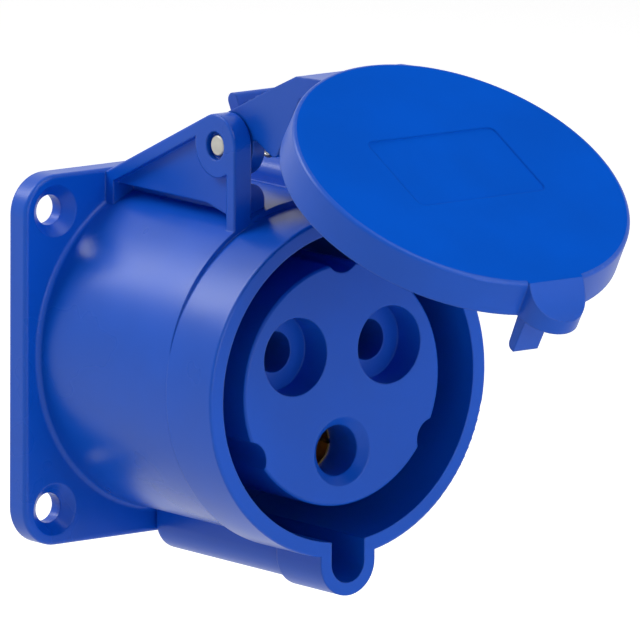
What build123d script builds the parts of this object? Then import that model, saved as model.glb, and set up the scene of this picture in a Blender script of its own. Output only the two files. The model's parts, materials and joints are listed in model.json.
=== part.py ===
from build123d import *
import os
from math import asin, atan2, cos, degrees, radians, sin, sqrt

# Panel socket for industrial plugs, two poles and earth, in millimetres.
# The origin is the centre of the flange's back face, which lies on the panel.
# The socket's front faces -Y and its hinge is on top, at +Z. A "forward"
# distance is measured from the panel plane towards the front.

# Flange on the panel
flange_w = 55.0  # width and height
flange_t = 3.7
flange_corner_r = 5.8
flange_edge_r = 0.7
bolt_inset = 5.4  # from the flange's edge to a hole's centre
bolt_hole_r = 2.25
countersink_r = 3.85
countersink_angle = 90

# Barrel, collar and keyway
socket_l = 45.1  # forward reach of the collar
collar_l = 10.6
collar_r = 25.25
collar_wall = 2.3
collar_edge_r = 0.4
barrel_r = 25.05
barrel_lift = 1.0  # the barrel's centre sits this much above the collar's
root_fillet_r = 0.8
floor_forward = 8.6  # floor of the ring space that takes the plug's shroud
seat_forward = 4.2  # floor of the rear recess that takes the carrier's shoulder
seat_gap = 0.2  # round the carrier's shoulder
key_z = -26.0  # centre of the key groove
key_groove_r = 3.0
key_ridge_r = 4.9
key_ridge_rear_r = 4.1
key_end_r = 1.5

# Hinge ears and their pin
pin_setback = 15.2  # behind the collar's front
pin_z = 34.45
pin_r = 1.5
pin_end_setback = 0.35
pin_end_chamfer = 0.15
eye_r = 4.65  # round top of the ears and knuckles of the lid
ear_inner_x = 9.9
ear_t = 3.05
ear_rim = 1.9
ear_web_recess = 1.0
ear_edge_r = 0.3
web_low_z = 25.6
web_front_drop = 1.4
web_front_l = 6.0
step_wall_inner_x = 6.4
step_wall_t = 2.8
step_wall_top_z = 28.9
step_wall_setback = 1.35
step_wall_round_r = 2.6
step_wall_ramp_end = 11.5  # where the ramp behind the step reaches its top
pin_pocket_r = 2.1
pin_pocket_depth = 1.0

# Contacts and their carrier
carrier_r = 17.85
carrier_recess = 1.55
carrier_chamfer = 0.3
carrier_shoulder_rim = 0.1  # beyond the screws' heads
carrier_shoulder_t = 3.4
notch_r = 3.05
notch_depth = 1.4
contact_pitch_r = 9.9
phase_mouth_r = 5.75
phase_mouth_depth = 5.2
phase_hole_r = 3.0
earth_mouth_r = 5.1
earth_hole_r = 3.75
phase_pin_r = 2.5
earth_pin_r = 3.5
phase_sleeve_depth = 12.0  # from the carrier's face to the sleeve's mouth
earth_sleeve_depth = 7.8
sleeve_wall = 0.95
sleeve_slot_w = 0.8
sleeve_slot_l = 13.0
sleeve_pocket_gap = 0.55
pin_reach = 19.0  # depth of a sleeve's bore
contact_collar_t = 1.6
contact_collar_step = 0.7
ring_w = 2.4
ring_t = 0.45
ring_gap_w = 1.6
ring_setback = 1.6
shank_r = 3.9
shank_reach = 10.5  # behind the panel plane
wire_hole_r = 1.9
wire_hole_depth = 7.0

# Terminal body behind the carrier
body_disc_t = 3.8
body_core_r = 17.0
body_core_reach = 12.5
body_edge_r = 0.8
terminal_screw_r = 2.0
terminal_head_r = 2.6
terminal_head_t = 2.2
terminal_screw_back = 6.6  # behind the panel plane
terminal_access_r = 2.9
carrier_screw_gap = 0.25  # between a screw's head and the carrier
carrier_screw_r = 1.0
carrier_head_r = 1.5
carrier_head_t = 1.3
carrier_screw_tip_gap = 0.8
driver_slot_w = 0.7
driver_slot_depth = 0.7

# Flange gasket
gasket_inner_r = 23.0
gasket_w = 2.6
gasket_t = 1.2

# Lid, drawn closed and then swung open
lid_open_angle = 60.0
lid_drop = 1.0  # the lid's centre sits below the socket's axis
lid_r = 25.65
lid_h = 5.65
lid_taper = 1.5
lid_edge_r = 0.6
lid_wall = 1.8
lid_face_t = 2.0
lid_gap = 0.25  # between the closed rim and the collar
plate_w = 23.0
plate_h = 14.8
plate_depth = 0.2
plate_corner_r = 1.2
plate_rise = 1.5
tab_z = -26.5
tab_r = 4.9
tab_tip_t = 2.3
scoop_sag = 0.45
tongue_w = 4.5
tongue_l = 7.5
tongue_root_t = 2.0
tongue_tip_t = 1.4
tongue_low_z = -25.6
tongue_round_r = 0.9
seal_w = 2.4
seal_gap = 0.3

# Lid bracket between the ears
bracket_gap = 0.3
bracket_plate_t = 2.2
cover_t = 1.5
brow_setback = 3.5  # behind the lid's face
brow_z = 27.6
nape_setback = 8.3  # behind the lid's face
nape_z = 31.1
brow_foot_z = 22.1
heel_lead = 3.7  # forward of the pin
heel_top_z = 30.3
heel_gap = 0.4  # between the barrel and the heel of the closed lid
heel_lean = 0.35
heel_round_r = 1.1
cover_end_angle = 120.0  # about the pin, from +Y towards +Z
fin_half_w = 8.8
fin_t = 2.2
fin_foot = (3.8, 2.75)  # forward of the pin and above it
fin_tip = (4.7, 4.15)
rib_t = 0.9
rib_half_w = 7.4
rib_rise = 0.35
rib_steps = (3.2, 5.2)

# Torsion spring on the pin
spring_wire_r = 0.35
spring_mean_r = 2.35
spring_turns = 6
spring_half_w = 4.2
spring_pocket_gap = 0.45
spring_lid_leg = 9.0
spring_leg_gap = 0.1
spring_leg_fall = 55.0  # angle of the leg on the barrel, below level

# Fits
fixed_fit = 0.02  # radial, between pieces that don't move against each other
running_fit = 0.06  # radial, between the pin and the lid's knuckles
loose_fit = 0.15  # radial, carrier in the housing floor
cut_margin = 1.0  # how far a cut runs past the face that it opens

# Sizes that follow from those above
carrier_screw_pitch_r = carrier_r + carrier_screw_gap + carrier_head_r
carrier_shoulder_r = carrier_screw_pitch_r + carrier_head_r + carrier_shoulder_rim
seat_r = carrier_shoulder_r + seat_gap
barrel_l = socket_l - collar_l
pin_forward = socket_l - pin_setback
bolt_spacing = flange_w - 2 * bolt_inset
collar_bore_r = collar_r - collar_wall
carrier_front = socket_l - carrier_recess
carrier_parting = carrier_front - phase_sleeve_depth
ear_outer_x = ear_inner_x + ear_t
ear_front = pin_forward + eye_r
pin_at = (-pin_forward, pin_z)
step_wall_outer_x = step_wall_inner_x + step_wall_t
slope_foot = (-flange_t, flange_w / 2 - flange_edge_r / 2)
ear_root_z = sqrt(collar_bore_r**2 - ear_outer_x**2)
shoulder_front = seat_forward
shoulder_back = seat_forward - carrier_shoulder_t
body_disc_back = shoulder_back - body_disc_t
lid_rim = socket_l + lid_gap
lid_face = lid_rim + lid_h
lid_floor = lid_face - lid_face_t
lid_bore_r = lid_r - lid_wall
brow_forward = lid_face - brow_setback
nape_forward = lid_face - nape_setback
heel_forward = pin_forward + heel_lead
bracket_x = ear_inner_x - bracket_gap
plate_inner_x = bracket_x - bracket_plate_t
heel_low_z = barrel_lift + sqrt(barrel_r**2 - plate_inner_x**2) + heel_gap
pocket_r = spring_mean_r + spring_wire_r + spring_pocket_gap
hinge_axis = Axis((0, -pin_forward, pin_z), (1, 0, 0))
contact_angles = {"line": 150.0, "neutral": 30.0, "earth": 270.0}
pin_radii = {"line": phase_pin_r, "neutral": phase_pin_r, "earth": earth_pin_r}
hole_radii = {"line": phase_hole_r, "neutral": phase_hole_r, "earth": earth_hole_r}
sleeve_depths = {
    "line": phase_sleeve_depth,
    "neutral": phase_sleeve_depth,
    "earth": earth_sleeve_depth,
}
screw_angles = (90.0, 210.0, 330.0)


def front(forward):
    """Plane across the socket at this forward distance, facing the front."""
    return Plane.XZ.offset(forward)


def polar(radius, angle):
    """Place on a plane across the socket, from a radius and an angle."""
    return (radius * cos(radians(angle)), radius * sin(radians(angle)))


def outward(angle):
    """Unit vector across the socket, away from its axis."""
    return Vector(cos(radians(angle)), 0, sin(radians(angle)))


def terminal_plane(angle):
    """Plane where a terminal screw crosses its contact's axis, facing outwards."""
    origin = outward(angle) * contact_pitch_r + Vector(0, terminal_screw_back, 0)
    return Plane(origin, z_dir=outward(angle))


def tangent_from(point, centre, radius, side):
    """Where a line from point touches the circle, on the side given as +1 or -1."""
    across, up = centre[0] - point[0], centre[1] - point[1]
    distance = sqrt(across**2 + up**2)
    reach = sqrt(distance**2 - radius**2)
    angle = atan2(up, across) + side * asin(radius / distance)
    return (point[0] + reach * cos(angle), point[1] + reach * sin(angle))


def key_outline(radius, top_z):
    """U outline of the key, round at the bottom and open towards the axis."""
    with Locations((0, key_z)):
        Circle(radius)
    with Locations((0, (key_z + top_z) / 2)):
        Rectangle(2 * radius, top_z - key_z)


def save(name, shape):
    """Label a finished piece and write it to its own file."""
    shape.label = name
    export_step(shape, f"parts/{name}.step")


os.makedirs("parts", exist_ok=True)

# One hinge ear, on the +X side: a plate with a sunken web, over a stepped wall
slope_top = tangent_from(slope_foot, pin_at, eye_r, -1)
slope_rise = (slope_top[1] - slope_foot[1]) / (slope_foot[0] - slope_top[0])
rim_drop = ear_rim * sqrt(1 + slope_rise**2)
web_back, web_front = flange_t + ear_rim, ear_front - ear_rim
web_back_top = slope_foot[1] + ear_rim * slope_rise - rim_drop
web_front_top = slope_foot[1] + (web_front - flange_t) * slope_rise - rim_drop
step_wall_front = ear_front - step_wall_setback
with BuildPart() as ear:
    with BuildSketch(Plane.YZ.offset(ear_inner_x)):
        Polygon(
            (-flange_t / 2, slope_foot[1]),
            slope_foot,
            slope_top,
            pin_at,
            (-ear_front, pin_z),
            (-ear_front, ear_root_z),
            (-flange_t / 2, ear_root_z),
            align=None,
        )
        with Locations(pin_at):
            Circle(eye_r)
    extrude(amount=ear_t)
    rim_edges = ear.faces().sort_by(Axis.X)[-1].edges()
    fillet(rim_edges.filter_by(lambda e: e.center().Y < -flange_t), ear_edge_r)
    with BuildSketch(Plane.YZ.offset(step_wall_inner_x)):
        Polygon(
            (-flange_t / 2, ear_root_z),
            (-flange_t / 2, web_low_z),
            (-step_wall_ramp_end, step_wall_top_z),
            (-step_wall_front, step_wall_top_z),
            (-step_wall_front, ear_root_z),
            align=None,
        )
    extrude(amount=ear_inner_x - step_wall_inner_x)
    wall_top = ear.edges().filter_by(Axis.Y).group_by(Axis.X)[0].sort_by(Axis.Z)[-1]
    fillet(wall_top, step_wall_round_r)
    with BuildSketch(Plane.YZ.offset(ear_outer_x)):
        Polygon(
            (-web_back, ear_root_z),
            (-web_back, web_back_top),
            (-web_front, web_front_top),
            (-web_front, ear_root_z),
            align=None,
        )
        with Locations(pin_at):
            Circle(eye_r, mode=Mode.SUBTRACT)
    extrude(amount=-ear_web_recess, mode=Mode.SUBTRACT)
    with BuildSketch(Plane.YZ.offset(ear_outer_x)):
        Polygon(
            (-web_back, ear_root_z),
            (-web_back, web_low_z),
            (-web_front + web_front_l, web_low_z),
            (-web_front, web_low_z - web_front_drop),
            (-web_front, ear_root_z),
            align=None,
        )
    extrude(amount=step_wall_outer_x - ear_outer_x, mode=Mode.SUBTRACT)

# Key ridge under the barrel, larger along the collar and round at its rear end
with BuildPart() as key_ridge:
    with BuildSketch(front(flange_t)):
        key_outline(key_ridge_rear_r, 0)
    extrude(amount=barrel_l - flange_t)
    rear_arc = key_ridge.faces().sort_by(Axis.Y)[-1].edges().filter_by(GeomType.CIRCLE)
    fillet(rear_arc, key_end_r)
    with BuildSketch(front(barrel_l)):
        key_outline(key_ridge_r, 0)
    extrude(amount=collar_l)

# Housing: flange, barrel, collar, key ridge and both ears, moulded as one
with BuildPart() as housing:
    with BuildSketch(front(0)):
        RectangleRounded(flange_w, flange_w, flange_corner_r)
    extrude(amount=flange_t)
    fillet(housing.faces().sort_by(Axis.Y)[0].edges(), flange_edge_r)
    with BuildSketch(front(flange_t)):
        with Locations((0, barrel_lift)):
            Circle(barrel_r)
    extrude(amount=barrel_l - flange_t)
    barrel_root = housing.edges().filter_by(GeomType.CIRCLE)
    barrel_root = barrel_root.filter_by(lambda e: e.radius > seat_r)
    fillet(barrel_root.sort_by(Axis.Y)[-1], root_fillet_r)
    with BuildSketch(front(barrel_l)):
        Circle(collar_r)
    extrude(amount=collar_l)
    fillet(housing.faces().sort_by(Axis.Y)[0].edges(), collar_edge_r)
    add(key_ridge.part)
    add(ear.part)
    mirror(ear.part, about=Plane.YZ)
    with BuildSketch(front(floor_forward)):
        Circle(collar_bore_r)
        key_outline(key_groove_r, 0)
    extrude(amount=socket_l - floor_forward, mode=Mode.SUBTRACT)
    with BuildSketch(front(0)):
        Circle(seat_r)
    extrude(amount=seat_forward, mode=Mode.SUBTRACT)
    with BuildSketch(front(0)):
        Circle(carrier_r + loose_fit)
        with PolarLocations(carrier_screw_pitch_r, 3, start_angle=screw_angles[0]):
            Circle(carrier_screw_r + fixed_fit)
    extrude(amount=floor_forward, mode=Mode.SUBTRACT)
    with BuildSketch(front(0)):
        Circle(gasket_inner_r + gasket_w)
        Circle(gasket_inner_r, mode=Mode.SUBTRACT)
    extrude(amount=gasket_t, mode=Mode.SUBTRACT)
    with Locations(front(flange_t)):
        with GridLocations(bolt_spacing, bolt_spacing, 2, 2):
            CounterSinkHole(
                bolt_hole_r, countersink_r, counter_sink_angle=countersink_angle
            )
    with BuildSketch(Plane.YZ):
        with Locations(pin_at):
            Circle(pin_r + fixed_fit)
    extrude(amount=ear_outer_x, both=True, mode=Mode.SUBTRACT)
    with BuildSketch(Plane.YZ.offset(ear_outer_x), Plane.YZ.offset(-ear_outer_x)):
        with Locations(pin_at):
            Circle(pin_pocket_r)
    extrude(amount=pin_pocket_depth, both=True, mode=Mode.SUBTRACT)
save("housing", housing.part)

# Carrier of the three contacts, drawn whole and then parted at the mouths of the
# upper sleeves: the insert in front, and behind it the base with the shoulder
with BuildPart() as carrier:
    with BuildSketch(front(shoulder_back)):
        Circle(carrier_shoulder_r)
    extrude(amount=carrier_shoulder_t)
    with BuildSketch(front(shoulder_front)):
        Circle(carrier_r)
    extrude(amount=carrier_front - shoulder_front)
    chamfer(carrier.faces().sort_by(Axis.Y)[0].edges(), carrier_chamfer)
    with BuildSketch(front(floor_forward)):
        with PolarLocations(carrier_r - notch_depth + notch_r, 3, start_angle=90):
            Circle(notch_r)
    extrude(amount=socket_l - floor_forward, mode=Mode.SUBTRACT)
    for name, angle in contact_angles.items():
        hole_r = hole_radii[name]
        sleeve_front = carrier_front - sleeve_depths[name]
        with BuildSketch(front(shoulder_back)):
            with Locations(polar(contact_pitch_r, angle)):
                Circle(pin_radii[name] + sleeve_wall + sleeve_pocket_gap)
        extrude(amount=sleeve_front - shoulder_back, mode=Mode.SUBTRACT)
        with BuildSketch(front(sleeve_front)):
            with Locations(polar(contact_pitch_r, angle)):
                Circle(hole_r)
        extrude(amount=sleeve_depths[name], mode=Mode.SUBTRACT)
        with BuildSketch(front(carrier_front)):
            with Locations(polar(contact_pitch_r, angle)):
                Circle(earth_mouth_r if name == "earth" else phase_mouth_r)
        if name == "earth":
            extrude(amount=hole_r - earth_mouth_r, taper=45, mode=Mode.SUBTRACT)
        else:
            extrude(amount=-phase_mouth_depth, mode=Mode.SUBTRACT)
    with BuildSketch(front(shoulder_back)):
        with PolarLocations(carrier_screw_pitch_r, 3, start_angle=screw_angles[0]):
            Circle(carrier_screw_r + fixed_fit)
    extrude(amount=carrier_shoulder_t, mode=Mode.SUBTRACT)
with BuildPart() as contact_carrier:
    add(carrier.part)
    split(bisect_by=front(carrier_parting), keep=Keep.TOP)
save("contact_carrier", contact_carrier.part)
with BuildPart() as carrier_base:
    add(carrier.part)
    split(bisect_by=front(carrier_parting), keep=Keep.BOTTOM)
save("carrier_base", carrier_base.part)

# Terminal body: a disc behind the carrier's shoulder and a core with the terminals
with BuildPart() as terminal_body:
    with BuildSketch(front(body_disc_back)):
        Circle(carrier_shoulder_r)
    extrude(amount=body_disc_t)
    with BuildSketch(front(-body_core_reach)):
        Circle(body_core_r)
    extrude(amount=body_core_reach + body_disc_back)
    fillet(terminal_body.faces().sort_by(Axis.Y)[-1].edges(), body_edge_r)
    with BuildSketch(front(shoulder_back)):
        with PolarLocations(contact_pitch_r, 3, start_angle=contact_angles["neutral"]):
            Circle(shank_r + fixed_fit)
        with PolarLocations(carrier_screw_pitch_r, 3, start_angle=screw_angles[0]):
            Circle(carrier_screw_r + fixed_fit)
    extrude(amount=-(body_core_reach + shoulder_back), mode=Mode.SUBTRACT)
    with BuildSketch(front(shoulder_back)):
        with PolarLocations(contact_pitch_r, 3, start_angle=contact_angles["neutral"]):
            Circle(shank_r + contact_collar_step + fixed_fit)
    extrude(amount=-contact_collar_t, mode=Mode.SUBTRACT)
    for angle in contact_angles.values():
        with BuildSketch(terminal_plane(angle)):
            Circle(terminal_access_r)
        extrude(amount=body_core_r, mode=Mode.SUBTRACT)
save("terminal_body", terminal_body.part)

# Contacts: slotted sleeve, collar, and shank with a wire hole and a screw hole
for name, angle in contact_angles.items():
    bore_r = pin_radii[name]
    sleeve_r = bore_r + sleeve_wall
    slot_reach = 2 * (sleeve_r + cut_margin)
    sleeve_front = carrier_front - sleeve_depths[name]
    axis_x, axis_z = polar(contact_pitch_r, angle)
    screw_plane = terminal_plane(angle)
    with BuildPart() as contact:
        with BuildSketch(front(sleeve_front)):
            with Locations((axis_x, axis_z)):
                Circle(sleeve_r)
        extrude(amount=-(sleeve_front - shoulder_back))
        with BuildSketch(front(shoulder_back)):
            with Locations((axis_x, axis_z)):
                Circle(shank_r + contact_collar_step)
        extrude(amount=-contact_collar_t)
        with BuildSketch(front(shoulder_back - contact_collar_t)):
            with Locations((axis_x, axis_z)):
                Circle(shank_r)
        extrude(amount=-(shank_reach + shoulder_back - contact_collar_t))
        with BuildSketch(front(sleeve_front)):
            with Locations((axis_x, axis_z)):
                Circle(bore_r)
        extrude(amount=-pin_reach, mode=Mode.SUBTRACT)
        with BuildSketch(front(sleeve_front)):
            with Locations((axis_x, axis_z)):
                Rectangle(sleeve_slot_w, slot_reach)
                Rectangle(slot_reach, sleeve_slot_w)
        extrude(amount=-sleeve_slot_l, mode=Mode.SUBTRACT)
        with BuildSketch(front(-shank_reach)):
            with Locations((axis_x, axis_z)):
                Circle(wire_hole_r)
        extrude(amount=wire_hole_depth, mode=Mode.SUBTRACT)
        with BuildSketch(screw_plane):
            Circle(terminal_screw_r + fixed_fit)
        extrude(amount=shank_r + cut_margin, mode=Mode.SUBTRACT)
    save(f"{name}_contact", contact.part)

    # Spring ring that closes the sleeve's leaves on the plug's pin
    with BuildPart() as ring:
        with BuildSketch(front(sleeve_front - ring_setback)):
            with Locations((axis_x, axis_z)):
                Circle(sleeve_r + fixed_fit + ring_t)
                Circle(sleeve_r + fixed_fit, mode=Mode.SUBTRACT)
            with Locations(polar(contact_pitch_r + sleeve_r, angle)):
                Rectangle(ring_gap_w, ring_gap_w, rotation=angle, mode=Mode.SUBTRACT)
        extrude(amount=-ring_w)
    save(f"{name}_contact_ring", ring.part)

    # Terminal screw, driven from the side of the core
    with BuildPart() as terminal_screw:
        with BuildSketch(screw_plane.offset(wire_hole_r / 2)):
            Circle(terminal_screw_r)
        extrude(amount=shank_r - wire_hole_r / 2)
        with BuildSketch(screw_plane.offset(shank_r)):
            Circle(terminal_head_r)
        extrude(amount=terminal_head_t)
        with BuildSketch(screw_plane.offset(shank_r + terminal_head_t)):
            Rectangle(2 * (terminal_head_r + cut_margin), driver_slot_w)
        extrude(amount=-driver_slot_depth, mode=Mode.SUBTRACT)
    save(f"{name}_terminal_screw", terminal_screw.part)

# Screws that hold the carrier and the terminal body to the housing's floor
screw_names = ("top", "left", "right")
for name, angle in zip(screw_names, screw_angles):
    with BuildPart() as carrier_screw:
        with BuildSketch(front(body_disc_back)):
            with Locations(polar(carrier_screw_pitch_r, angle)):
                Circle(carrier_screw_r)
        extrude(amount=floor_forward - carrier_screw_tip_gap - body_disc_back)
        with BuildSketch(front(body_disc_back)):
            with Locations(polar(carrier_screw_pitch_r, angle)):
                Circle(carrier_head_r)
        extrude(amount=-carrier_head_t)
        with BuildSketch(front(body_disc_back - carrier_head_t)):
            with Locations(polar(carrier_screw_pitch_r, angle)):
                Rectangle(2 * (carrier_head_r + cut_margin), driver_slot_w)
        extrude(amount=driver_slot_depth, mode=Mode.SUBTRACT)
    save(f"carrier_screw_{name}", carrier_screw.part)

# Gasket in the groove on the flange's back
with BuildPart() as flange_gasket:
    with BuildSketch(front(0)):
        Circle(gasket_inner_r + gasket_w)
        Circle(gasket_inner_r, mode=Mode.SUBTRACT)
    extrude(amount=gasket_t)
save("flange_gasket", flange_gasket.part)

# Hinge pin through both ears
with BuildPart() as hinge_pin:
    with BuildSketch(Plane.YZ):
        with Locations(pin_at):
            Circle(pin_r)
    extrude(amount=ear_outer_x - pin_end_setback, both=True)
    ends = hinge_pin.faces().filter_by(Axis.X).edges()
    chamfer(ends, pin_end_chamfer)
save("hinge_pin", hinge_pin.part)

# Tongue that reaches back under the collar when the lid is closed
with BuildPart() as tongue:
    with BuildSketch(Plane.YZ):
        Polygon(
            (-lid_floor - lid_face_t / 2, tongue_low_z),
            (-lid_floor - lid_face_t / 2, tongue_low_z + tongue_root_t),
            (-lid_rim, tongue_low_z + tongue_root_t),
            (-lid_rim + tongue_l, tongue_low_z + tongue_tip_t),
            (-lid_rim + tongue_l, tongue_low_z),
            align=None,
        )
    extrude(amount=tongue_w / 2, both=True)
    tip_edges = tongue.edges().filter_by(Axis.X).group_by(Axis.Y)[-1]
    fillet(tip_edges.sort_by(Axis.Z)[-1], tongue_round_r)

# Lid, closed: cap with rim, finger tab with its scoop, tongue, and hinge bracket
brow = (-brow_forward, brow_z)
nape = (-nape_forward, nape_z)
cover_top = tangent_from(nape, pin_at, eye_r, 1)
nape_under = (-nape_forward, nape_z - cover_t)
cover_under = tangent_from(nape_under, pin_at, pocket_r, 1)
cover_end = polar(2 * eye_r, cover_end_angle)
cover_dir = (Vector(*cover_top) - Vector(*nape)).normalized()
cover_out = cover_dir.rotate(Axis.Z, 90)
tab_low_z = tab_z - tab_r
cap_low_z = -lid_drop - lid_r
with BuildPart() as hinged_lid:
    with BuildSketch(front(lid_rim)):
        with Locations((0, -lid_drop)):
            Circle(lid_r)
    extrude(amount=lid_h, taper=lid_taper)
    fillet(hinged_lid.faces().sort_by(Axis.Y)[0].edges(), lid_edge_r)
    with BuildSketch(front(lid_rim)):
        with Locations((0, tab_z)):
            Circle(tab_r)
        with Locations((0, (tab_z + cap_low_z + lid_wall) / 2)):
            Rectangle(2 * tab_r, cap_low_z + lid_wall - tab_z)
    extrude(amount=lid_h)
    with BuildSketch(Plane.YZ):
        with BuildLine():
            scoop_top = Vector(-lid_face, cap_low_z + lid_edge_r)
            scoop_low = Vector(-lid_rim - tab_tip_t, tab_low_z)
            scoop_side = (scoop_low - scoop_top).normalized().rotate(Axis.Z, 90)
            Polyline(scoop_low, (-lid_face, tab_low_z), scoop_top)
            ThreePointArc(scoop_top, (scoop_top + scoop_low) / 2 + scoop_side * scoop_sag, scoop_low)
        make_face()
    extrude(amount=tab_r, both=True, mode=Mode.SUBTRACT)
    with BuildSketch(Plane.YZ):
        Polygon(
            (-lid_face, brow_foot_z),
            brow,
            nape,
            cover_top,
            pin_at,
            (-heel_forward, heel_top_z),
            (-heel_forward - heel_lean, heel_low_z),
            (-lid_rim, heel_low_z),
            (-lid_rim, brow_foot_z),
            align=None,
        )
        with Locations(pin_at):
            Circle(eye_r)
    extrude(amount=bracket_x, both=True)
    heel = hinged_lid.edges().filter_by(Axis.X).filter_by(
        lambda e: abs(e.center().Z - heel_low_z) < heel_round_r / 10 and e.center().Y > -ear_front
    )
    fillet(heel, heel_round_r)
    with BuildSketch(Plane.YZ):
        Polygon(
            (-lid_rim, brow_foot_z),
            (-lid_rim, brow_z - cover_t / 2),
            nape_under,
            cover_under,
            pin_at,
            (pin_at[0] + cover_end[0], pin_at[1] + cover_end[1]),
            (-pin_forward + 2 * eye_r, pin_z + 2 * eye_r),
            (-pin_forward + 2 * eye_r, brow_foot_z),
            align=None,
        )
        with Locations(pin_at):
            Circle(pocket_r)
    extrude(amount=plate_inner_x, both=True, mode=Mode.SUBTRACT)
    with BuildSketch(front(lid_rim)):
        with Locations((0, -lid_drop)):
            Circle(lid_bore_r)
    extrude(amount=lid_floor - lid_rim, mode=Mode.SUBTRACT)
    with BuildSketch(front(lid_face)):
        with Locations((0, -lid_drop + plate_rise)):
            RectangleRounded(plate_w, plate_h, plate_corner_r)
    extrude(amount=-plate_depth, mode=Mode.SUBTRACT)
    add(tongue.part)
    with BuildSketch(Plane.YZ):
        with BuildLine():
            fin_middle = Line(
                (-pin_forward - fin_foot[0], pin_z + fin_foot[1]),
                (-pin_forward - fin_tip[0], pin_z + fin_tip[1]),
            )
        SlotArc(fin_middle, fin_t)
    extrude(amount=fin_half_w, both=True)
    with BuildSketch(Plane.YZ):
        for step in rib_steps:
            rib_at = Vector(*cover_top) - cover_dir * step + cover_out * rib_rise
            with Locations((rib_at.X, rib_at.Y)):
                Circle(rib_t / 2)
    extrude(amount=rib_half_w, both=True)
    with BuildSketch(Plane.YZ):
        with Locations(pin_at):
            Circle(pin_r + running_fit)
    extrude(amount=bracket_x, both=True, mode=Mode.SUBTRACT)
save("hinged_lid", hinged_lid.part.rotate(hinge_axis, -lid_open_angle))

# Seal inside the lid's rim, notched for the tongue
with BuildPart() as lid_seal:
    with BuildSketch(front(lid_floor)):
        with Locations((0, -lid_drop)):
            Circle(lid_bore_r - fixed_fit)
            Circle(lid_bore_r - fixed_fit - seal_w, mode=Mode.SUBTRACT)
        with Locations((0, tongue_low_z)):
            Rectangle(
                tongue_w + 2 * seal_gap,
                2 * (tongue_root_t + seal_gap),
                mode=Mode.SUBTRACT,
            )
    extrude(amount=-(lid_floor - socket_l - seal_gap))
save("lid_seal", lid_seal.part.rotate(hinge_axis, -lid_open_angle))

# Torsion spring on the pin, with one leg on the barrel and one under the cover
with BuildPart() as lid_spring:
    lid_leg_angle = degrees(atan2(-cover_dir.Y, -cover_dir.X)) - lid_open_angle
    part_turn = (lid_leg_angle - 180 + spring_leg_fall) % 360
    coil_l = 2 * spring_half_w
    with BuildLine() as coil:
        turns = Helix(
            coil_l / (spring_turns + part_turn / 360),
            coil_l,
            spring_mean_r,
            center=(-spring_half_w, -pin_forward, pin_z),
            direction=(1, 0, 0),
            mode=Mode.PRIVATE,
        ).rotate(hinge_axis, -spring_leg_fall)
        leg_top, leg_dir = turns @ 0, -(turns % 0)
        barrel_top_z = barrel_lift + sqrt(barrel_r**2 - spring_half_w**2)
        rest_z = barrel_top_z + spring_wire_r + spring_leg_gap
        add(turns)
        Line(leg_top, leg_top + leg_dir * ((rest_z - leg_top.Z) / leg_dir.Z))
        Line(turns @ 1, turns @ 1 + (turns % 1) * spring_lid_leg)
    with BuildSketch(Plane(coil.wires()[0] @ 0, z_dir=coil.wires()[0] % 0)):
        Circle(spring_wire_r)
    sweep(path=coil.wires()[0])
save("lid_spring", lid_spring.part)
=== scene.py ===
import json
from math import cos, pi, radians, sin

import bpy
from mathutils import Matrix, Vector


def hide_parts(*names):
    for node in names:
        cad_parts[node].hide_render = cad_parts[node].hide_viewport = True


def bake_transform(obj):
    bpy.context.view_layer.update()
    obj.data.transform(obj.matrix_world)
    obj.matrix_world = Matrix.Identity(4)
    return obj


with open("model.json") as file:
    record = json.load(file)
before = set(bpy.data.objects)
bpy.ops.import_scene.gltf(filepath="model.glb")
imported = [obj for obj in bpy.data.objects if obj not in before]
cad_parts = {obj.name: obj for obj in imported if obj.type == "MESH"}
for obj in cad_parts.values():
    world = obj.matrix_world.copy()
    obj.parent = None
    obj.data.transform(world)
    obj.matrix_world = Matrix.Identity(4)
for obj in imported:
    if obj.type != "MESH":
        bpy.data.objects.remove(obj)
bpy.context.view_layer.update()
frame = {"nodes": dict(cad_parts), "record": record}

# Camera: angles in degrees, and where the part's origin lies in front of it
CAMERA_AZIMUTH = -37.9
CAMERA_ELEVATION = 10.28
CAMERA_ROLL = 0.3
FOCAL_PIXELS = 16155.0
FRAME_PIXELS = 640
SENSOR_WIDTH = 36.0
ORIGIN_RIGHT = -0.02348
ORIGIN_BELOW = 0.00306
ORIGIN_AHEAD = 2.3725

# Linear colours
WHITE = (1, 1, 1, 1)
HOUSING_BLUE = (0.001, 0.083, 0.55, 1)
CARRIER_BLUE = (0.001, 0.083, 0.55, 1)
LID_BLUE = (0.001, 0.081, 0.53, 1)
# Painted light: the lid's upward face is given a lighter blue than the rest of the lid, for the
# light that falls on it
LID_FACE_PAINTED_LIT_BLUE = (0.001, 0.093, 0.61, 1)
TERMINAL_GREY = (0.075, 0.08, 0.088, 1)
BRASS = (0.62, 0.42, 0.16, 1)
SPRING_STEEL = (0.55, 0.55, 0.53, 1)
SCREW_STEEL = (0.60, 0.60, 0.57, 1)
PIN_COAT = (0.62, 0.61, 0.55, 1)
RUBBER_BLACK = (0.018, 0.018, 0.02, 1)
FLOOR_PALE = (0.93, 0.93, 0.93, 1)

# Noise between these two values drives a finish from one end to the other
NOISE_LOW = 0.2
NOISE_HIGH = 0.8

# Moulded plastic: clouding of colour and gloss, fine grain, and eased edges
CLOUD_SCALE = 55.0
CLOUD_DARK = 0.94
CLOUD_LIGHT = 1.06
CLOUD_GLOSSIER = 0.03
CLOUD_DULLER = 0.04
GRAIN_SCALE = 5200.0
GRAIN_STRENGTH = 0.16
GRAIN_DEPTH = 0.00003
EDGE_RADIUS = 0.00038
EDGE_SAMPLES = 6

# Turned metal: rings round its axis, and tarnish
RING_SCALE = 900.0
RING_DISTORTION = 1.2
RING_STRENGTH = 0.12
RING_DEPTH = 0.00002
TARNISH_SCALE = 240.0
TARNISH_DARK = 0.72
TARNISH_GLOSSIER = 0.04
TARNISH_DULLER = 0.1

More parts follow.
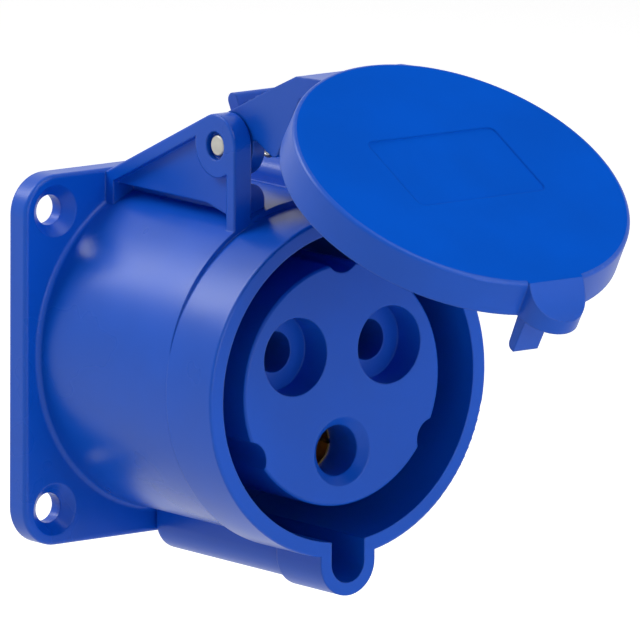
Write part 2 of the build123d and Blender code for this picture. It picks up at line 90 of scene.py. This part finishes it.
# Rubber, with a faint bloom
RUBBER_ROUGHNESS = 0.72
RUBBER_SPECULAR = 0.3
BLOOM_SCALE = 420.0
BLOOM_SPREAD = 0.08
BLOOM_STRENGTH = 0.25
BLOOM_DEPTH = 0.00004

# The lid's outer face, which points this way at rest, with its shallow recess; it is painted
# lighter and nearly unreflecting, as painted light for how it is lit
LID_FACING = (0, -cos(radians(60)), sin(radians(60)))
LID_FACE_DEPTH = 0.0004
FLAT_ENOUGH = 0.999
UPRIGHT_ENOUGH = 0.05

# Torsion spring on the pin; angles about the pin in degrees, from +Y towards +Z
SPRING_RADIUS = 0.00235
SPRING_WIRE = 0.00035
SPRING_HALF_WIDTH = 0.0042
SPRING_TURNS = 6.084
SPRING_START = 35.0
SPRING_STEPS = 26  # points per turn
WIRE_STEPS = 4  # more of them make the wire rounder
BARREL_LEG = 0.01183
LID_LEG = 0.009

# Background and floor
FLOOR_HEIGHT = -0.09
FLOOR_HALF = 6.0
FLOOR_GLOW = 0.65  # added where the floor is seen, so that it shows white beside its shadow
AMBIENT = 0.12

# Lamps: direction from the point that they face, distance, size and power
LAMP_AIM = (0, -0.02, 0)
LAMPS = {
    "back_left": ((-0.5, 0.6, 0.7), 0.9, 0.5, 5.8),
    "front": ((0, -1, 0.12), 1.0, 0.7, 3.9),
    "top_front": ((0, -0.6, 0.8), 0.9, 0.55, 2.9),
    "front_right": ((0.60, -0.75, 0.15), 1.1, 0.9, 1.0),
}


def node(tree, kind, **inputs):
    """A shader node with some of its inputs set, by name."""
    made = tree.nodes.new(kind)
    for name, value in inputs.items():
        made.inputs[name.replace("_", " ")].default_value = value
    return made


def material(name, colour, roughness, metallic=0.0, specular=0.5):
    """A new material, with its node tree and its Principled shader."""
    made = bpy.data.materials.new(name)
    made.use_nodes = True
    tree = made.node_tree
    shader = tree.nodes["Principled BSDF"]
    shader.inputs["Base Color"].default_value = colour
    shader.inputs["Roughness"].default_value = roughness
    shader.inputs["Metallic"].default_value = metallic
    shader.inputs["Specular IOR Level"].default_value = specular
    return made, tree, shader


def lay_on_object(tree, *textures):
    """Places these textures by the object's own coordinates."""
    place = tree.nodes.new("ShaderNodeTexCoord").outputs["Object"]
    for texture in textures:
        tree.links.new(place, texture.inputs["Vector"])


def ramp(tree, source, low, high):
    """The source's noise, remapped to run from low to high."""
    made = node(
        tree, "ShaderNodeMapRange", From_Min=NOISE_LOW, From_Max=NOISE_HIGH, To_Min=low, To_Max=high
    )
    made.interpolation_type = "SMOOTHERSTEP"
    tree.links.new(source, made.inputs["Value"])
    return made.outputs["Result"]


def shaded(colour, share):
    """The colour, darker or lighter by this share, with no channel over 1."""
    return [min(1.0, share * channel) for channel in colour[:3]] + [1]


def vary_colour(tree, shader, source, dark, light):
    """Runs the shader's colour from dark to light with the source's noise."""
    mix = tree.nodes.new("ShaderNodeMix")
    mix.data_type = "RGBA"
    mix.inputs["A"].default_value = dark
    mix.inputs["B"].default_value = light
    tree.links.new(ramp(tree, source, 0.0, 1.0), mix.inputs["Factor"])
    tree.links.new(mix.outputs["Result"], shader.inputs["Base Color"])


def vary_roughness(tree, shader, source, low, high):
    """Runs the shader's roughness from low to high with the source's noise."""
    tree.links.new(ramp(tree, source, low, high), shader.inputs["Roughness"])


def add_bump(tree, shader, height, strength, depth):
    """Gives the shader a bump of this height, and returns its node."""
    bump = node(tree, "ShaderNodeBump", Strength=strength, Distance=depth)
    tree.links.new(height, bump.inputs["Height"])
    tree.links.new(bump.outputs["Normal"], shader.inputs["Normal"])
    return bump


def moulded_plastic(name, colour, roughness, specular, grain=1.0):
    """Satin moulded plastic: fine grain, soft clouding of colour and gloss, and eased edges."""
    made, tree, shader = material(name, colour, roughness, specular=specular)
    cloud = node(tree, "ShaderNodeTexNoise", Scale=CLOUD_SCALE, Detail=3.0, Roughness=0.5)
    fine = node(tree, "ShaderNodeTexNoise", Scale=GRAIN_SCALE, Detail=2.0, Roughness=0.6)
    lay_on_object(tree, cloud, fine)
    noise = cloud.outputs["Fac"]
    vary_colour(tree, shader, noise, shaded(colour, CLOUD_DARK), shaded(colour, CLOUD_LIGHT))
    vary_roughness(tree, shader, noise, roughness - CLOUD_GLOSSIER, roughness + CLOUD_DULLER)
    edge = node(tree, "ShaderNodeBevel", Radius=EDGE_RADIUS)
    edge.samples = EDGE_SAMPLES
    bump = add_bump(tree, shader, fine.outputs["Fac"], GRAIN_STRENGTH * grain, GRAIN_DEPTH)
    tree.links.new(edge.outputs["Normal"], bump.inputs["Normal"])
    return made


def turned_metal(name, colour, roughness, rings_along="Y"):
    """Turned metal: fine rings round its axis, with light tarnish."""
    made, tree, shader = material(name, colour, roughness, metallic=1.0)
    rings = node(
        tree, "ShaderNodeTexWave", Scale=RING_SCALE, Distortion=RING_DISTORTION, Detail=2.0
    )
    rings.bands_direction = rings_along
    tarnish = node(tree, "ShaderNodeTexNoise", Scale=TARNISH_SCALE, Detail=4.0)
    lay_on_object(tree, rings, tarnish)
    noise = tarnish.outputs["Fac"]
    vary_colour(tree, shader, noise, shaded(colour, TARNISH_DARK), colour)
    vary_roughness(tree, shader, noise, roughness + TARNISH_DULLER, roughness - TARNISH_GLOSSIER)
    add_bump(tree, shader, rings.outputs["Fac"], RING_STRENGTH, RING_DEPTH)
    return made


def soft_rubber(name, colour):
    """Matt rubber with a faint bloom."""
    made, tree, shader = material(name, colour, RUBBER_ROUGHNESS, specular=RUBBER_SPECULAR)
    bloom = node(tree, "ShaderNodeTexNoise", Scale=BLOOM_SCALE, Detail=5.0)
    lay_on_object(tree, bloom)
    noise = bloom.outputs["Fac"]
    low, high = RUBBER_ROUGHNESS - BLOOM_SPREAD, RUBBER_ROUGHNESS + BLOOM_SPREAD
    vary_roughness(tree, shader, noise, low, high)
    add_bump(tree, shader, noise, BLOOM_STRENGTH, BLOOM_DEPTH)
    return made


def dress(nodes, finish):
    """Gives these CAD nodes one material."""
    for name in nodes:
        piece = frame["nodes"][name]
        piece.data.materials.clear()
        piece.data.materials.append(finish)


def paint_lit_face(node_name, facing, depth, finish):
    """Gives a dressed CAD node's outermost flat on this side, with its recess, a material; here it
    lays painted light on the lid's upward face.
    """
    mesh = frame["nodes"][node_name].data
    mesh.materials.append(finish)
    way = Vector(facing).normalized()
    reach = max(v.co.dot(way) for v in mesh.vertices)
    for polygon in mesh.polygons:
        lean = polygon.normal.dot(way)
        lowest = min(mesh.vertices[i].co.dot(way) for i in polygon.vertices)
        if (lean > FLAT_ENOUGH or abs(lean) < UPRIGHT_ENOUGH) and lowest > reach - depth:
            polygon.material_index = len(mesh.materials) - 1


def spring_line(pin):
    """The points of the spring's wire, from the end on the barrel to the end on the lid."""
    count = round(SPRING_TURNS * SPRING_STEPS)
    turns = []
    for i in range(count + 1):
        angle = radians(SPRING_START) + 2 * pi * SPRING_TURNS * i / count
        across = Vector((0, cos(angle), sin(angle))) * SPRING_RADIUS
        along = Vector((SPRING_HALF_WIDTH * (2 * i / count - 1), 0, 0))
        turns.append(pin + across + along)
    barrel_end = turns[0] + (turns[0] - turns[1]).normalized() * BARREL_LEG
    lid_end = turns[-1] + (turns[-1] - turns[-2]).normalized() * LID_LEG
    return [barrel_end] + turns + [lid_end]


def torsion_spring(pin, finish):
    """The wound spring with both its legs, put in place of the hidden CAD spring."""
    points = spring_line(pin)
    wire = bpy.data.curves.new("lid_spring_wire", "CURVE")
    wire.dimensions = "3D"
    wire.bevel_depth = SPRING_WIRE
    wire.bevel_resolution = WIRE_STEPS
    wire.use_fill_caps = True
    line = wire.splines.new("POLY")
    line.points.add(len(points) - 1)
    for knot, place in zip(line.points, points):
        knot.co = (*place, 1)
    drawn = bpy.data.objects.new("spring_line", wire)
    mesh = bpy.data.meshes.new_from_object(drawn)
    bpy.data.objects.remove(drawn)
    mesh.shade_smooth()
    mesh.materials.clear()
    mesh.materials.append(finish)
    piece = bpy.data.objects.new("wound_spring", mesh)
    bpy.context.scene.collection.objects.link(piece)
    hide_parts("lid_spring")
    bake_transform(piece)


def lamp(name, direction, distance, size, power):
    """A square area lamp that stands in this direction from its aim and faces it."""
    data = bpy.data.lights.new(name, "AREA")
    data.shape = "SQUARE"
    data.size = size
    data.energy = power
    made = bpy.data.objects.new(name, data)
    bpy.context.scene.collection.objects.link(made)
    away = Vector(direction).normalized()
    made.location = Vector(LAMP_AIM) + away * distance
    made.rotation_mode = "QUATERNION"
    made.rotation_quaternion = away.to_track_quat("Z", "Y")


def shown_white(tree, white, plain):
    """The white shader for camera, glossy and transmission rays, and the plain one for others."""
    path = tree.nodes.new("ShaderNodeLightPath")
    first, second = tree.nodes.new("ShaderNodeMath"), tree.nodes.new("ShaderNodeMath")
    first.operation = second.operation = "MAXIMUM"
    tree.links.new(path.outputs["Is Camera Ray"], first.inputs[0])
    tree.links.new(path.outputs["Is Glossy Ray"], first.inputs[1])
    tree.links.new(first.outputs[0], second.inputs[0])
    tree.links.new(path.outputs["Is Transmission Ray"], second.inputs[1])
    mix = tree.nodes.new("ShaderNodeMixShader")
    tree.links.new(second.outputs[0], mix.inputs[0])
    tree.links.new(plain, mix.inputs[1])
    tree.links.new(white, mix.inputs[2])
    return mix.outputs[0]


def white_world():
    """A world that shows white and lights the part dimly."""
    world = bpy.data.worlds.new("studio")
    bpy.context.scene.world = world
    world.use_nodes = True
    tree = world.node_tree
    tree.nodes.clear()
    white = node(tree, "ShaderNodeBackground", Color=WHITE, Strength=1.0)
    dim = node(tree, "ShaderNodeBackground", Color=WHITE, Strength=AMBIENT)
    output = tree.nodes.new("ShaderNodeOutputWorld")
    tree.links.new(shown_white(tree, white.outputs[0], dim.outputs[0]), output.inputs["Surface"])


def floor_paint():
    """Pale paint that shows white with the part's shadow on it, and mirrors as plain white."""
    made, tree, shader = material("floor_paint", FLOOR_PALE, 0.9, specular=0.1)
    glow = node(tree, "ShaderNodeEmission", Color=WHITE, Strength=FLOOR_GLOW)
    lifted = tree.nodes.new("ShaderNodeAddShader")
    tree.links.new(shader.outputs[0], lifted.inputs[0])
    tree.links.new(glow.outputs[0], lifted.inputs[1])
    mirrored = node(tree, "ShaderNodeEmission", Color=WHITE, Strength=1.0)
    seen = tree.nodes.new("ShaderNodeMixShader")
    path = tree.nodes.new("ShaderNodeLightPath")
    tree.links.new(path.outputs["Is Camera Ray"], seen.inputs[0])
    tree.links.new(shown_white(tree, mirrored.outputs[0], shader.outputs[0]), seen.inputs[1])
    tree.links.new(lifted.outputs[0], seen.inputs[2])
    tree.links.new(seen.outputs[0], tree.nodes["Material Output"].inputs["Surface"])
    return made


def studio():
    """White world, pale floor and the lamps."""
    white_world()
    mesh = bpy.data.meshes.new("floor")
    corners = [(-1, -1), (1, -1), (1, 1), (-1, 1)]
    places = [(x * FLOOR_HALF, y * FLOOR_HALF, FLOOR_HEIGHT) for x, y in corners]
    mesh.from_pydata(places, [], [(0, 1, 2, 3)])
    floor = bpy.data.objects.new("floor", mesh)
    bpy.context.scene.collection.objects.link(floor)
    mesh.materials.append(floor_paint())
    for name, (direction, distance, size, power) in LAMPS.items():
        lamp(name, direction, distance, size, power)


def photo_camera():
    """The photograph's camera, turned by its roll and placed from where the origin shows."""
    azimuth, elevation = radians(CAMERA_AZIMUTH), radians(CAMERA_ELEVATION)
    roll = radians(CAMERA_ROLL)
    back = Vector((sin(azimuth) * cos(elevation), -cos(azimuth) * cos(elevation), sin(elevation)))
    level = Vector((cos(azimuth), sin(azimuth), 0))
    upright = back.cross(level)
    right = level * cos(roll) + upright * sin(roll)
    up = upright * cos(roll) - level * sin(roll)
    data = bpy.data.cameras.new("photo_camera")
    data.sensor_width = SENSOR_WIDTH
    data.lens = FOCAL_PIXELS / FRAME_PIXELS * SENSOR_WIDTH
    camera = bpy.data.objects.new("photo_camera", data)
    bpy.context.scene.collection.objects.link(camera)
    place = back * ORIGIN_AHEAD + up * ORIGIN_BELOW - right * ORIGIN_RIGHT
    turn = Matrix((right, up, back)).transposed().to_4x4()
    camera.matrix_world = Matrix.Translation(place) @ turn
    bpy.context.scene.camera = camera


housing_plastic = moulded_plastic("housing_plastic", HOUSING_BLUE, roughness=0.29, specular=0.28)
carrier_plastic = moulded_plastic("carrier_plastic", CARRIER_BLUE, roughness=0.40, specular=0.30)
lid_plastic = moulded_plastic("lid_plastic", LID_BLUE, roughness=0.36, specular=0.32)
# Painted light: a lighter copy of the lid plastic with almost no reflection, standing in for how
# the lid's upward face is lit
lid_face_painted_lit_plastic = moulded_plastic(
    "lid_face_painted_lit_plastic", LID_FACE_PAINTED_LIT_BLUE, roughness=0.60, specular=0.02, grain=1.8
)
terminal_plastic = moulded_plastic(
    "terminal_plastic", TERMINAL_GREY, roughness=0.52, specular=0.35, grain=1.6
)
brass = turned_metal("contact_brass", BRASS, roughness=0.30)
spring_steel = turned_metal("spring_steel", SPRING_STEEL, roughness=0.28)
screw_steel = turned_metal("screw_steel", SCREW_STEEL, roughness=0.34, rings_along="X")
pin_steel = turned_metal("pin_steel", PIN_COAT, roughness=0.45, rings_along="X")
seal_rubber = soft_rubber("seal_rubber", RUBBER_BLACK)

poles = ("line", "neutral", "earth")
dress(["housing"], housing_plastic)
dress(["contact_carrier", "carrier_base"], carrier_plastic)
dress(["hinged_lid"], lid_plastic)
# Painted light on the lid's upward face and its recess walls
paint_lit_face("hinged_lid", LID_FACING, LID_FACE_DEPTH, lid_face_painted_lit_plastic)
dress(["terminal_body"], terminal_plastic)
dress([f"{pole}_contact" for pole in poles], brass)
dress([f"{pole}_contact_ring" for pole in poles], spring_steel)
dress([f"{pole}_terminal_screw" for pole in poles], screw_steel)
dress([f"carrier_screw_{place}" for place in ("top", "left", "right")], screw_steel)
dress(["hinge_pin"], pin_steel)
dress(["lid_seal", "flange_gasket"], seal_rubber)

hinge = frame["record"]["behaviour"]["joints"][0]
torsion_spring(Vector(hinge["pos_m"]), spring_steel)

bpy.context.scene.view_settings.view_transform = "Standard"
studio()
photo_camera()
